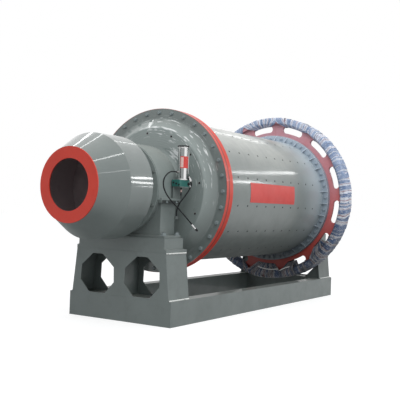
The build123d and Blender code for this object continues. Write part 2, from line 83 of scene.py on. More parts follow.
# Materials
class Shader:
    """One material's node tree, with short ways to add and join nodes."""

    def __init__(self, name):
        self.material = bpy.data.materials.new(name)
        self.material.use_nodes = True
        self.tree = self.material.node_tree
        self.bsdf = self.tree.nodes["Principled BSDF"]
        self.coords = self.add("ShaderNodeTexCoord").outputs["Object"]

    def add(self, kind, **settings):
        node = self.tree.nodes.new(kind)
        for key, value in settings.items():
            setattr(node, key, value)
        return node

    def feed(self, socket, value):
        if isinstance(value, bpy.types.NodeSocket):
            self.tree.links.new(value, socket)
        elif hasattr(value, "__len__") and len(value) == 3 and socket.type == "RGBA":
            socket.default_value = (*value, 1.0)
        else:
            socket.default_value = value

    def put(self, **values):
        for key, value in values.items():
            self.feed(self.bsdf.inputs[key.replace("_", " ")], value)

    def noise(self, scale, detail=3.0, stretch=(1.0, 1.0, 1.0), rough=0.55, coords=None):
        mapping = self.add("ShaderNodeMapping")
        mapping.inputs["Scale"].default_value = stretch
        self.feed(mapping.inputs["Vector"], coords or self.coords)
        node = self.add("ShaderNodeTexNoise")
        self.feed(node.inputs["Vector"], mapping.outputs["Vector"])
        node.inputs["Scale"].default_value = scale
        node.inputs["Detail"].default_value = detail
        node.inputs["Roughness"].default_value = rough
        return node.outputs["Fac"]

    def span(self, value, low, high, to_low=0.0, to_high=1.0, smooth=False):
        node = self.add("ShaderNodeMapRange")
        node.interpolation_type = "SMOOTHSTEP" if smooth else "LINEAR"
        for key, item in (("From Min", low), ("From Max", high), ("To Min", to_low), ("To Max", to_high)):
            node.inputs[key].default_value = item
        self.feed(node.inputs["Value"], value)
        return node.outputs["Result"]

    def math(self, kind, a, b=0.0):
        node = self.add("ShaderNodeMath", operation=kind)
        self.feed(node.inputs[0], a)
        self.feed(node.inputs[1], b)
        return node.outputs[0]

    def mix(self, share, a, b):
        node = self.add("ShaderNodeMix", data_type="RGBA")
        self.feed(node.inputs["Factor"], share)
        self.feed(node.inputs["A"], a)
        self.feed(node.inputs["B"], b)
        return node.outputs["Result"]

    def axis(self, name, coords=None):
        node = self.add("ShaderNodeSeparateXYZ")
        self.feed(node.inputs[0], coords or self.coords)
        return node.outputs[name]

    def up(self):
        """How far a face looks up, at rest, from -1 to 1."""
        node = self.add("ShaderNodeTexCoord")
        return self.axis("Z", node.outputs["Normal"])

    def radius(self):
        """Distance from the mill's axis."""
        y, z = self.axis("Y"), self.math("SUBTRACT", self.axis("Z"), AXIS)
        return self.math("SQRT", self.math("ADD", self.math("MULTIPLY", y, y), self.math("MULTIPLY", z, z)))

    def turn(self):
        """Angle in degrees up from the near side."""
        height = self.math("SUBTRACT", self.axis("Z"), AXIS)
        angle = self.math("ARCTAN2", height, self.math("MULTIPLY", self.axis("Y"), -1.0))
        return self.math("MULTIPLY", angle, 180.0 / math.pi)

    def outward(self):
        """How far a face looks away from the mill's axis, below zero where it looks inwards."""
        normal = self.add("ShaderNodeTexCoord").outputs["Normal"]
        across = self.math("MULTIPLY", self.axis("Y"), self.axis("Y", normal))
        height = self.math("SUBTRACT", self.axis("Z"), AXIS)
        return self.math("ADD", across, self.math("MULTIPLY", height, self.axis("Z", normal)))

    def bump(self, height, strength, distance):
        node = self.add("ShaderNodeBump")
        node.inputs["Strength"].default_value = strength
        node.inputs["Distance"].default_value = distance
        self.feed(node.inputs["Height"], height)
        self.feed(self.bsdf.inputs["Normal"], node.outputs["Normal"])


def tint(colour, share):
    return tuple(c * share for c in colour)


def highlight_arcs(s):
    """Thin pale arcs about the mill's axis on the head: painted highlights."""
    radius, turn = s.radius(), s.turn()

    def within(value, low, high, soft):
        return s.math("MULTIPLY", s.span(value, low - soft, low), s.span(value, high, high + soft, 1.0, 0.0))

    polar = s.add("ShaderNodeCombineXYZ")
    s.feed(polar.inputs["X"], s.math("MULTIPLY", radius, 46.0))
    s.feed(polar.inputs["Y"], s.math("MULTIPLY", turn, 0.07))
    by_neck = s.math("MULTIPLY", within(turn, 46.0, 60.0, 8.0), within(radius, 0.53, 0.62, 0.04))
    on_ridge = s.math("MULTIPLY", within(turn, 62.0, 98.0, 10.0), within(radius, 0.795, 0.815, 0.01))
    denser = s.math("MULTIPLY", s.math("ADD", by_neck, on_ridge), 0.13)
    grain = s.math("ADD", s.noise(1.0, 3.0, coords=polar.outputs[0], rough=0.6), denser)
    outer = s.math("MULTIPLY", within(turn, 25.0, 90.0, 40.0), within(radius, 0.70, 0.93, 0.06))
    return s.math("MULTIPLY", s.span(grain, 0.58, 0.65), s.math("MAXIMUM", outer, by_neck))


def paint(name, colour, gloss=0.3, coat=0.7, dust=0.35, grime=0.3, peel=0.06, under_shade=0.75, rim=None, lit_top_tone=None,
          inner=None):
    """Sprayed gloss paint: faint mottle, orange peel, dust on what looks up, grime in blotches, a dull underside in
    painted shade.

    The top tone is painted light high up, over painted shade low down, on the gear and its flange; rim is the feed
    head's edge and inner what looks at the mill's axis.
    """
    s = Shader(name)
    mottle = s.span(s.noise(2.3, 4.0), 0.3, 0.7)
    base = s.mix(mottle, tint(colour, 0.93), tint(colour, 1.07))
    if lit_top_tone:
        height = s.axis("Z")
        # Painted shade: darker low down
        base = s.mix(s.span(height, 0.60, 1.50, 0.85, 0.0), base, tint(colour, 0.25))
        # Painted light: paler high up, unevenly
        pale = s.math("MULTIPLY", s.span(height, 0.80, 2.75), s.span(s.noise(4.0, 4.0), 0.3, 0.7, 0.6, 0.9))
        base = s.mix(pale, base, lit_top_tone)
    blotch = s.span(s.noise(5.0, 6.0, rough=0.65), 0.5, 0.75, 0.0, grime, smooth=True)
    base = s.mix(blotch, base, tint(colour, 0.6))
    if rim:
        # Painted light: the head is lighter inside 0.8 m from the axis, lifting its shaded face
        base = s.mix(s.span(s.radius(), 0.80, 0.95), tint(colour, 1.55), base)
        wavy = s.math("ADD", s.radius(), s.span(s.noise(14.0), 0.3, 0.7, -0.0012, 0.0012))
        edge = s.span(wavy, RIM_R - 0.0003, RIM_R + 0.0003)
        # Painted shadow: a dark line in the gap where the head's rim meets the shell's flange
        gap_shade = s.span(s.axis("X"), HEAD_JOINT - 0.027, HEAD_JOINT - 0.024, 0.0, 0.8)
        band = s.mix(gap_shade, s.mix(mottle, tint(rim, 0.85), tint(rim, 1.1)), tint(rim, 0.28))
        base = s.mix(edge, base, band)
        # Painted highlights: pale arcs on the head
        base = s.mix(s.math("MULTIPLY", highlight_arcs(s), 0.75), base, (0.78, 0.80, 0.80))
    uneven_dust = s.span(s.noise(3.1, 5.0), 0.3, 0.7, 0.35, 1.0)
    settled = s.math("MULTIPLY", s.span(s.up(), 0.15, 0.95, smooth=True), uneven_dust)
    base = s.mix(s.math("MULTIPLY", settled, dust), base, (0.33, 0.32, 0.29))
    fleck = s.span(s.noise(55.0, 2.0), 0.72, 0.78, 0.0, 0.2)
    base = s.mix(fleck, base, tint(colour, 0.5))
    if inner:
        base = s.mix(s.span(s.outward(), -0.15, -0.05), inner, base)
    # Painted shade: faces that look down are darkened
    shade = s.span(s.up(), -0.7, 0.0)
    s.put(Base_Color=s.mix(shade, s.mix(under_shade, (0, 0, 0), base), base), Coat_Roughness=0.06, Specular_IOR_Level=0.35)
    shine = s.span(s.up(), -0.6, 0.0, coat * 0.1, coat)
    if rim:
        shine = s.math("MULTIPLY", shine, s.span(edge, 0.0, 1.0, 1.0, 0.15))
    s.put(Coat_Weight=shine)
    uneven = s.span(s.noise(7.0, 4.0), 0.3, 0.7, gloss, gloss + 0.16)
    dull = s.math("ADD", s.math("MULTIPLY", settled, 0.25 * dust), s.span(s.up(), -0.6, 0.0, 0.4, 0.0))
    s.put(Roughness=s.math("ADD", uneven, dull))
    relief = s.noise(90.0, 2.0)
    if rim:
        rings = s.math("SINE", s.math("MULTIPLY", s.radius(), 210.0))
        relief = s.math("MULTIPLY", rings, s.span(s.noise(5.0, 3.0), 0.40, 0.70))
    s.bump(relief, peel, 0.002)
    return s.material


def shell_paint():
    """The shell's grey: glossy, with dull dusty sheets and runs over its upper half, painted light near the gear and
    painted shade below.
    """
    s = Shader("grey_shell")
    grey = (0.152, 0.178, 0.170)
    mottle = s.span(s.noise(1.7, 4.0), 0.3, 0.7)
    base = s.mix(mottle, tint(grey, 0.94), tint(grey, 1.06))
    high = s.span(s.axis("Z"), 1.70, 2.50, smooth=True)
    sheets = s.span(s.noise(1.6, 5.0, stretch=(0.7, 1.0, 1.0), rough=0.6), 0.36, 0.66, 0.45, 1.0)
    runs = s.span(s.noise(9.0, 3.0, stretch=(1.6, 0.12, 0.12)), 0.35, 0.7, 0.80, 1.0)
    dusty = s.math("MULTIPLY", s.math("MULTIPLY", high, sheets), runs)
    base = s.mix(s.math("MULTIPLY", dusty, 0.85), base, (0.55, 0.55, 0.515))
    # Painted light: bluish and paler towards the gear end
    pale = s.math("MULTIPLY", s.span(s.axis("X"), 0.9, 1.9, smooth=True), s.span(s.axis("Z"), 0.9, 1.9, 0.3, 1.0))
    base = s.mix(pale, base, (0.46, 0.53, 0.57))
    # Painted shade: darker towards the bottom
    low = s.span(s.axis("Z"), 0.66, 1.45, 1.0, 0.0, smooth=True)
    base = s.mix(s.math("MULTIPLY", low, 0.75), base, tint(grey, 0.3))
    worn = s.math("MULTIPLY", s.span(s.noise(2.6, 4.0), 0.3, 0.7, 0.75, 1.0), s.span(s.axis("X"), 0.2, 1.3, 1.0, 0.3))
    coat = s.math("MULTIPLY", worn, s.span(low, 0.0, 0.6, 0.7, 0.0))
    s.put(Base_Color=base, Coat_Weight=coat, Coat_Roughness=0.14, Specular_IOR_Level=0.3)
    dull = s.math("ADD", s.math("MULTIPLY", dusty, 0.2), s.math("MULTIPLY", low, 0.35))
    s.put(Roughness=s.math("ADD", s.span(s.noise(6.0, 4.0), 0.3, 0.7, 0.30, 0.45), dull))
    waves = s.math("ADD", s.noise(3.0, 3.0), s.math("MULTIPLY", s.noise(11.0, 2.0), 0.35))
    s.bump(waves, 0.09, 0.02)
    return s.material


def metal(name, colour, rough, grain=(1.0, 1.0, 1.0), tarnish=0.3):
    s = Shader(name)
    stain = s.span(s.noise(35.0, 5.0), 0.45, 0.75, 0.0, tarnish)
    s.put(Base_Color=s.mix(stain, colour, tint(colour, 0.35)), Metallic=1.0)
    s.put(Roughness=s.span(s.noise(120.0, 3.0, stretch=grain), 0.3, 0.7, rough * 0.75, rough * 1.3))
    s.bump(s.noise(260.0, 2.0, stretch=grain), 0.15, 0.0006)
    return s.material


def streaked_metal():
    """Drawn bright tube: upright streaks over five bands of light and dark, which are painted reflections."""
    s = Shader("drawn_tube")
    streak = s.span(s.noise(24.0, 2.0, stretch=(1.0, 1.0, 0.02)), 0.36, 0.64, -0.35, 0.35)
    across = s.math("SUBTRACT", s.axis("X"), RESERVOIR_X)
    turn = s.math("ARCTAN2", s.math("SUBTRACT", s.axis("Y"), RESERVOIR_Y), across)
    # Painted reflections: five bands of light and dark round the tube
    bands = s.math("COSINE", s.math("ADD", s.math("MULTIPLY", turn, 5.0), 3.99))
    share = s.span(s.math("ADD", bands, streak), 0.1, 0.9)
    s.put(Base_Color=s.mix(share, (0.27, 0.285, 0.285), (0.82, 0.82, 0.82)), Metallic=1.0)
    s.put(Roughness=s.span(s.noise(140.0, 3.0, stretch=(1.0, 1.0, 0.05)), 0.3, 0.7, 0.16, 0.30))
    s.bump(s.noise(260.0, 2.0, stretch=(1.0, 1.0, 0.05)), 0.1, 0.0006)
    return s.material


def plain(name, colour, rough, scale=40.0, spread=0.25, specular=0.4):
    """Rubber, plastic, putty and scorched steel: uneven in tone and in shine."""
    s = Shader(name)
    tone = s.span(s.noise(scale, 4.0), 0.3, 0.7)
    s.put(Base_Color=s.mix(tone, tint(colour, 1 - spread), tint(colour, 1 + spread)))
    s.put(Roughness=s.span(s.noise(scale * 2.3, 3.0), 0.3, 0.7, rough * 0.8, min(1.0, rough * 1.2)))
    s.put(Specular_IOR_Level=specular)
    s.bump(s.noise(scale * 5.0, 2.0), 0.2, 0.001)
    return s.material


def chipped_weld():
    """Weld bead with its paint knocked off to pale primer in places."""
    s = Shader("chipped_weld")
    chip = s.span(s.noise(22.0, 4.0), 0.28, 0.40)
    s.put(Base_Color=s.mix(chip, (0.150, 0.165, 0.160), (0.84, 0.85, 0.82)), Roughness=0.5)
    s.bump(s.noise(70.0, 3.0), 0.4, 0.004)
    return s.material


# Loose threads lie past this place across the strips' pattern, so that the cloth's material knows them
THREAD_UV = 2.45


def striped_cloth():
    """Woven plastic strip: blue, white and thin red stripes along it, creased, with painted highlights and shadows,
    painted light high up, darker and dirtier low down.
    """
    s = Shader("striped_cloth")
    uv = s.add("ShaderNodeUVMap", uv_map="strip").outputs["UV"]
    wander = s.span(s.noise(1.0, 2.0, stretch=(0.7, 0.5, 1.0), coords=uv), 0.3, 0.7, -0.035, 0.035)
    across = s.math("FRACT", s.math("ADD", s.axis("X", uv), wander))
    ramp = s.add("ShaderNodeValToRGB")
    ramp.color_ramp.interpolation = "CONSTANT"
    blue, white, red = (0.075, 0.150, 0.330, 1), (0.80, 0.82, 0.87, 1), (0.34, 0.075, 0.095, 1)
    stops = ((0.0, blue), (0.38, white), (0.50, red), (0.54, white))
    stops += ((0.64, blue), (0.78, white), (0.86, red), (0.90, white))
    elements = ramp.color_ramp.elements
    elements[0].position, elements[0].color = stops[0]
    elements[1].position, elements[1].color = stops[1]
    for position, colour in stops[2:]:
        elements.new(position).color = colour
    s.feed(ramp.inputs["Fac"], across)
    height = s.axis("Z")
    creases_and_highlights = s.span(s.noise(1.0, 3.0, stretch=(26.0, 1.6, 1.0), rough=0.7, coords=uv), 0.53, 0.63, 0.0, 0.85)
    # Painted highlights: pale along the folds
    base = s.mix(creases_and_highlights, ramp.outputs["Color"], (0.86, 0.88, 0.94))
    # Painted shadow: dark lines between the folds, stronger low down
    groove_shadows = s.span(s.noise(1.0, 3.0, stretch=(18.0, 1.3, 3.0), rough=0.7, coords=uv), 0.54, 0.64)
    base = s.mix(s.math("MULTIPLY", groove_shadows, s.span(height, 0.9, 2.0, 0.95, 0.45)), base, (0.022, 0.034, 0.066))
    # Painted light: paler high up
    top_light = s.math("MULTIPLY", s.span(height, 0.9, 2.3), s.span(s.noise(7.0, 4.0), 0.3, 0.7, 0.1, 0.6))
    base = s.mix(top_light, base, (0.60, 0.70, 0.90))
    low = s.span(height, 0.35, 1.75, 1.0, 0.0, smooth=True)
    base = s.mix(low, base, s.mix(0.30, (0, 0, 0), base))
    base = s.mix(s.math("MULTIPLY", low, s.span(s.noise(5.0, 4.0), 0.42, 0.62, 0.0, 0.7)), base, (0.045, 0.043, 0.036))
    frayed = s.span(s.noise(1.0, 3.0, stretch=(30.0, 1.1, 5.0), rough=0.7, coords=uv), 0.60, 0.66, 0.0, 0.8)
    base = s.mix(s.math("MULTIPLY", low, frayed), base, (0.52, 0.52, 0.53))
    base = s.mix(s.math("GREATER_THAN", s.axis("X", uv), THREAD_UV - 0.4), base, (0.78, 0.78, 0.76))
    s.put(Base_Color=base, Roughness=s.span(s.noise(20.0, 3.0), 0.3, 0.7, 0.42, 0.62), Specular_IOR_Level=0.4)
    warp = s.add("ShaderNodeTexWave", wave_type="BANDS", bands_direction="X")
    weft = s.add("ShaderNodeTexWave", wave_type="BANDS", bands_direction="Y")
    for wave in (warp, weft):
        s.feed(wave.inputs["Vector"], uv)
        wave.inputs["Scale"].default_value = 12.0
    weave = s.math("MULTIPLY", s.math("MULTIPLY", warp.outputs["Fac"], weft.outputs["Fac"]), 0.3)
    folds = s.math("ADD", weave, s.noise(38.0, 3.0))
    s.bump(s.math("ADD", folds, s.math("MULTIPLY", creases_and_highlights, 0.8)), 0.7, 0.006)
    return s.material


GREY = (0.150, 0.176, 0.170)
ORANGE = (0.60, 0.046, 0.027)
INSIDE = (0.42, 0.36, 0.37)
MATERIALS = {
    "grey": paint("grey_paint", GREY, gloss=0.38, coat=0.25, dust=0.35),
    # Painted shade: a darker copy of the grey, for parts in shade
    "shaded_grey": paint("grey_shaded", tint(GREY, 0.82), gloss=0.38, coat=0.2, dust=0.35),
    # Painted light: lighter copies of the grey for the bearing caps and seal ring
    "lit_cap_grey": paint("grey_caps_lit", tint(GREY, 1.3), gloss=0.38, coat=0.25, dust=0.35),
    "lit_housing": paint("grey_housing_lit", tint(GREY, 1.5), gloss=0.38, coat=0.25, dust=0.35),
    "drum_grey": paint("grey_drum", GREY, gloss=0.26, coat=0.85, dust=0.2, grime=0.1, peel=0.004, under_shade=0.95,
                       inner=INSIDE),
    "head": paint("grey_head", GREY, gloss=0.26, coat=0.85, dust=0.2, grime=0.1, peel=0.30, rim=ORANGE),
    "blue_grey": paint("blue_grey_paint", (0.22, 0.27, 0.31), gloss=0.4, coat=0.3, dust=0.2, lit_top_tone=(0.50, 0.58, 0.68)),
    # Painted highlights: pale paint on the ribs' edges, where they catch the light
    "lit_edge": paint("edge_highlights", (0.50, 0.55, 0.60), gloss=0.45, coat=0.1, dust=0.1, lit_top_tone=(0.74, 0.80, 0.86)),
    "bolt_grey": paint("bolt_paint", (0.20, 0.235, 0.240), gloss=0.4, coat=0.3, dust=0.2),
    "shell": shell_paint(),
    "orange": paint("orange_paint", ORANGE, gloss=0.4, coat=0.08, dust=0.05, grime=0.25),
    "gear": paint("gear_paint", (0.62, 0.085, 0.065), gloss=0.45, coat=0.08, dust=0.1, lit_top_tone=(0.54, 0.38, 0.45)),
    "red": paint("red_plate", (0.62, 0.060, 0.052), gloss=0.4, coat=0.1, dust=0.1, grime=0.1),
    "green": paint("green_enamel", (0.018, 0.130, 0.112), gloss=0.3, coat=0.5, dust=0.1),
    "bright": metal("bright_metal", (0.70, 0.70, 0.70), 0.2, grain=(1.0, 1.0, 0.05)),
    "tube": streaked_metal(),
    "steel": metal("plated_steel", (0.46, 0.46, 0.45), 0.38, tarnish=0.6),
    "bronze": metal("bronze", (0.52, 0.36, 0.16), 0.35),
    "rubber": plain("black_rubber", (0.010, 0.011, 0.013), 0.5, specular=0.2),
    "dark": plain("dark_plastic", (0.014, 0.015, 0.016), 0.5, specular=0.25),
    "cast": plain("cast_knob", (0.66, 0.67, 0.67), 0.35, scale=60.0, spread=0.12, specular=0.6),
    # Painted shadow: dark strips standing in the gap between each bearing's cap and base
    "gasket": plain("bearing_gap_shadow", (0.040, 0.046, 0.045), 0.6, specular=0.2),
    # Black for the pump's plugs, and painted shade in the open liner holes
    "black_steel": plain("black_bolts_and_hole_shade", (0.014, 0.015, 0.016), 0.55, specular=0.2),
    "weld": chipped_weld(),
    "inside": plain("mouth_inside", INSIDE, 0.75, scale=6.0, spread=0.15, specular=0.2),
    "label": plain("label_panel", (0.72, 0.50, 0.46), 0.45, scale=25.0, spread=0.12),
    "cloth": striped_cloth(),
}


# Building blocks
def finish_mesh(name, verts, faces, material, body, slot=None, sharp=35.0):
    mesh = bpy.data.meshes.new(name)
    mesh.from_pydata(verts, [], faces)
    mesh.validate()
    mesh.shade_smooth()
    mesh.set_sharp_from_angle(angle=math.radians(sharp))
    mesh.materials.append(MATERIALS[material])
    piece = bpy.data.objects.new(name, mesh)
    scene.collection.objects.link(piece)
    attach(piece, body)
    return piece


def tube_faces(rows, sides):
    """Faces between neighbouring rings of points."""
    faces = []
    for row in range(rows - 1):
        for k in range(sides):
            m = (k + 1) % sides
            faces.append((row * sides + k, row * sides + m, (row + 1) * sides + m, (row + 1) * sides + k))
    return faces


def lathe(profile, sides):
    """A closed turned form about local Z from (radius, height) pairs, bottom to top."""
    verts = []
    for radius, height in profile:
        for k in range(sides):
            a = 2 * math.pi * k / sides
            verts.append((radius * math.cos(a), radius * math.sin(a), height))
    faces = tube_faces(len(profile), sides)
    faces.append(tuple(reversed(range(sides))))
    top = (len(profile) - 1) * sides
    faces.append(tuple(range(top, top + sides)))
    return verts, faces


def joined(*forms):
    verts, faces = [], []
    for form_verts, form_faces in forms:
        start = len(verts)
        verts += form_verts
        faces += [tuple(i + start for i in face) for face in form_faces]
    return verts, faces


def moved(form, matrix):
    return [tuple(matrix @ Vector(v)) for v in form[0]], form[1]


def raised(form, height):
    return moved(form, Matrix.Translation((0, 0, height)))


def washer(radius, height):
    return lathe(((radius, 0), (radius, height * 0.8), (radius - height * 0.2, height)), 18)


def hex_head(flats, height):
    r = flats / math.sqrt(3)
    return lathe(((r, 0), (r, height * 0.78), (r * 0.87, height)), 6)


def stud(radius, height):
    """A threaded end: a few turns of thread and a chamfer."""
    profile = []
    turns = 4
    for k in range(turns):
        profile += [(radius * 0.88, height * (k + 0.1) / (turns + 1)), (radius, height * (k + 0.6) / (turns + 1))]
    profile += [(radius * 0.95, height * 0.92), (radius * 0.75, height)]
    return lathe(profile, 12)


def bolt(flats, height):
    return joined(washer(flats * 0.72, height * 0.16), raised(hex_head(flats, height * 0.84), height * 0.16))


def nut(flats, height, end):
    """Washer, nut and the stud's end standing out of it."""
    return joined(
        washer(flats * 0.78, height * 0.18),
        raised(hex_head(flats, height * 0.82), height * 0.18),
        raised(stud(flats * 0.31, end), height * 0.98),
    )


def stand(point, out, side=None):
    """Matrix that stands a form at a point, its local Z along out."""
    z = Vector(out).normalized()
    x = Vector(side) if side else z.orthogonal()
    y = z.cross(x).normalized()
    return Matrix.Translation(point) @ Matrix((y.cross(z), y, z)).transposed().to_4x4()


def around(angle):
    """Outward direction at an angle in degrees up from the near side."""
    a = math.radians(angle)
    return Vector((0.0, -math.cos(a), math.sin(a)))


def at(x, radius, angle):
    return Vector((x, 0.0, AXIS)) + radius * around(angle)


def scatter(name, form, places, material, body, slot=None, turn=0.0):
    """One piece made of many copies, each turned a little by its own amount."""
    draw = random.Random(name)
    forms = []
    for place in places:
        spin = Matrix.Rotation(draw.uniform(-turn, turn), 4, "Z")
        forms.append(moved(form, place @ spin))
    return finish_mesh(name, *joined(*forms), material, body, slot)


# Hoses: each follows the points of its route
LEDGE_Y, LEDGE_Z = -0.59, 1.505


def pump_at(s, d, h):
    """A place on the pump in mm: in from the feed end, out from the bearing's ledge and up from it."""
    return Vector((FEED_X + s / 1000, LEDGE_Y - d / 1000, LEDGE_Z + h / 1000))


def make_hose(name, route):
    points = [pump_at(*place) for place in route]
    curve = bpy.data.curves.new(name, "CURVE")
    curve.dimensions = "3D"
    spline = curve.splines.new("NURBS")
    spline.points.add(len(points) - 1)
    for control, point in zip(spline.points, points):
        control.co = (*point, 1.0)
    spline.order_u = 3
    spline.use_endpoint_u = True
    spline.resolution_u = 10
    curve.bevel_depth = 0.008
    curve.bevel_resolution = 5
    curve.use_fill_caps = True
    curve.materials.append(MATERIALS["rubber"])
    piece = bpy.data.objects.new(name, curve)
    scene.collection.objects.link(piece)
    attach(piece, "frame")
    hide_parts(name[:-5])


HOSE_A = [(275, 14, 320), (215, 14, 320), (145, 24, 316), (58, 32, 284), (-8, 36, 226), (-24, 38, 150)]
HOSE_A += [(15, 42, 73), (85, 50, 0), (185, 62, -70), (285, 80, -143), (380, 104, -223), (470, 130, -305)]
HOSE_B = [(473.6, 91, 212), (480, 101, 188), (454, 114, 156), (416, 114, 110), (384, 107, 69), (340, 90, 12)]
HOSE_B += [(314, 52, -50), (330, 15, -97), (362, -18, -132), (376, -34, -165), (376, -34, -215)]
TIP_DIRECTION = pump_at(*HOSE_A[-1]) - pump_at(*HOSE_A[-2])
TIP_END = pump_at(*HOSE_A[-1]) + 0.120 * TIP_DIRECTION.normalized()
ferrule = lathe(((0.0125, -0.040), (0.0135, -0.036), (0.0135, 0.0), (0.0105, 0.006)), 20)
tip_plug = finish_mesh("hose_tip_plug", *moved(ferrule, stand(TIP_END, TIP_DIRECTION)), "dark", "frame", "dark_plastic")
make_hose("hose_a_tube", HOSE_A)
make_hose("hose_b_tube", HOSE_B)


# CAD nodes: their materials, a small bevel on plate edges and smooth shading
def rounding_nodes():
    """Node group that smooths faces and keeps edges sharp above 20 degrees."""
    group = bpy.data.node_groups.new("smooth_by_angle", "GeometryNodeTree")
    group.interface.new_socket("Geometry", in_out="INPUT", socket_type="NodeSocketGeometry")
    group.interface.new_socket("Geometry", in_out="OUTPUT", socket_type="NodeSocketGeometry")
    start, end = group.nodes.new("NodeGroupInput"), group.nodes.new("NodeGroupOutput")
    faces = group.nodes.new("GeometryNodeSetShadeSmooth")
    edges = group.nodes.new("GeometryNodeSetShadeSmooth")
    edges.domain = "EDGE"
    angle = group.nodes.new("GeometryNodeInputMeshEdgeAngle")
    flat = group.nodes.new("FunctionNodeCompare")
    flat.operation = "LESS_EQUAL"
    flat.inputs["B"].default_value = math.radians(20)
    link = group.links.new
    link(start.outputs[0], faces.inputs["Geometry"])
    link(faces.outputs["Geometry"], edges.inputs["Geometry"])
    link(angle.outputs["Unsigned Angle"], flat.inputs["A"])
    link(flat.outputs["Result"], edges.inputs["Shade Smooth"])
    link(edges.outputs["Geometry"], end.inputs[0])
    return group


ROUNDING = rounding_nodes()
NODE_MATERIALS = {
    "shell": "shell",
    "feed_shell_flange": "orange",
    "drive_shell_flange": "blue_grey",
    "girth_gear": "gear",
    "feed_lip": "orange",
    "marker_plate": "red",
    "feed_drum": "drum_grey",
    "feed_head": "head",
    "drive_head": "drum_grey",
    "feed_drum_back": "inside",
    "pump_body": "green",
    "pump_reservoir": "tube",
    "reservoir_lid": "dark",
    "reservoir_port": "steel",
    "pump_valve": "bright",
    "hose_a_tip": "bright",
    # Painted shade and light: the elbow and drive pedestal take the darker grey, the seal ring and caps lighter ones
    "hose_b_elbow": "shaded_grey",
    "feed_seal_ring": "lit_housing",
    "feed_bearing_cap": "lit_cap_grey",
    "drive_bearing_cap": "lit_cap_grey",
    "drive_pedestal_front": "shaded_grey",
    "drive_pedestal_back": "shaded_grey",
    "drive_pedestal_sides": "shaded_grey",
    "feed_bearing_bush": "bronze",
    "drive_bearing_bush": "bronze",
}
# Turned forms keep the exact normals that they came with; plate edges get a bevel, a finer one where parts meet flush
TURNED = ("shell", "feed_shell", "feed_drum", "feed_lip", "feed_head", "drive_head", "feed_seal", "drive_seal")
TURNED += ("discharge", "pump_reservoir", "pump_valve", "reservoir_lid", "hose_a_tip")
FINE = ("pump", "reservoir", "hose")
FLUSH = ("feed_base", "feed_pedestal", "drive_base", "drive_pedestal", "near_rail", "far_rail")
UNBEVELLED = ("girth_gear", "gear_wrap", "hose_a", "hose_b", "marker_plate")


def dress_nodes():
    for name, node in NODES.items():
        node.data.materials.clear()
        node.data.materials.append(MATERIALS[NODE_MATERIALS.get(name, "grey")])
        if name.startswith(TURNED):
            continue
        if "custom_normal" in node.data.attributes:
            node.data.attributes.remove(node.data.attributes["custom_normal"])
        weld = node.modifiers.new("weld", "WELD")
        weld.merge_threshold = 0.00002
        if name not in UNBEVELLED:
            bevel = node.modifiers.new("edges", "BEVEL")
            bevel.width = 0.0015 if name.startswith(FINE + FLUSH) else 0.004
            bevel.segments = 2
            bevel.limit_method = "ANGLE"
            bevel.angle_limit = math.radians(24)
            # The ribs' bevels take pale paint, a painted highlight
            if name == "drive_shell_flange":
                node.data.materials.append(MATERIALS["lit_edge"])
                bevel.width, bevel.material = 0.006, 1
        smooth = node.modifiers.new("smooth", "NODES")
        smooth.node_group = ROUNDING
        level = node.modifiers.new("level", "WEIGHTED_NORMAL")
        level.keep_sharp = True


dress_nodes()


# Fasteners: how many, and the radius of their circles
FLANGE_BOLTS = 32
HEAD_LINERS, HEAD_LINER_R = 12, 0.735
SEAL_BOLTS, SEAL_BOLT_R = 8, 0.517
NECK_BOLTS, NECK_BOLT_R = 16, 0.440
LINER_ROWS, LINERS_IN_ROW, LINER_STEP = 16, 11, 0.258


def ring_places(x, radius, count, out, phase=0.0):
    angles = [phase + 360 * k / count for k in range(count)]
    return [stand(at(x, radius, angle), (out, 0, 0), around(angle)) for angle in angles]


def end_x(end, s):
    return FEED_X + s if end == "feed" else DRIVE_X - s


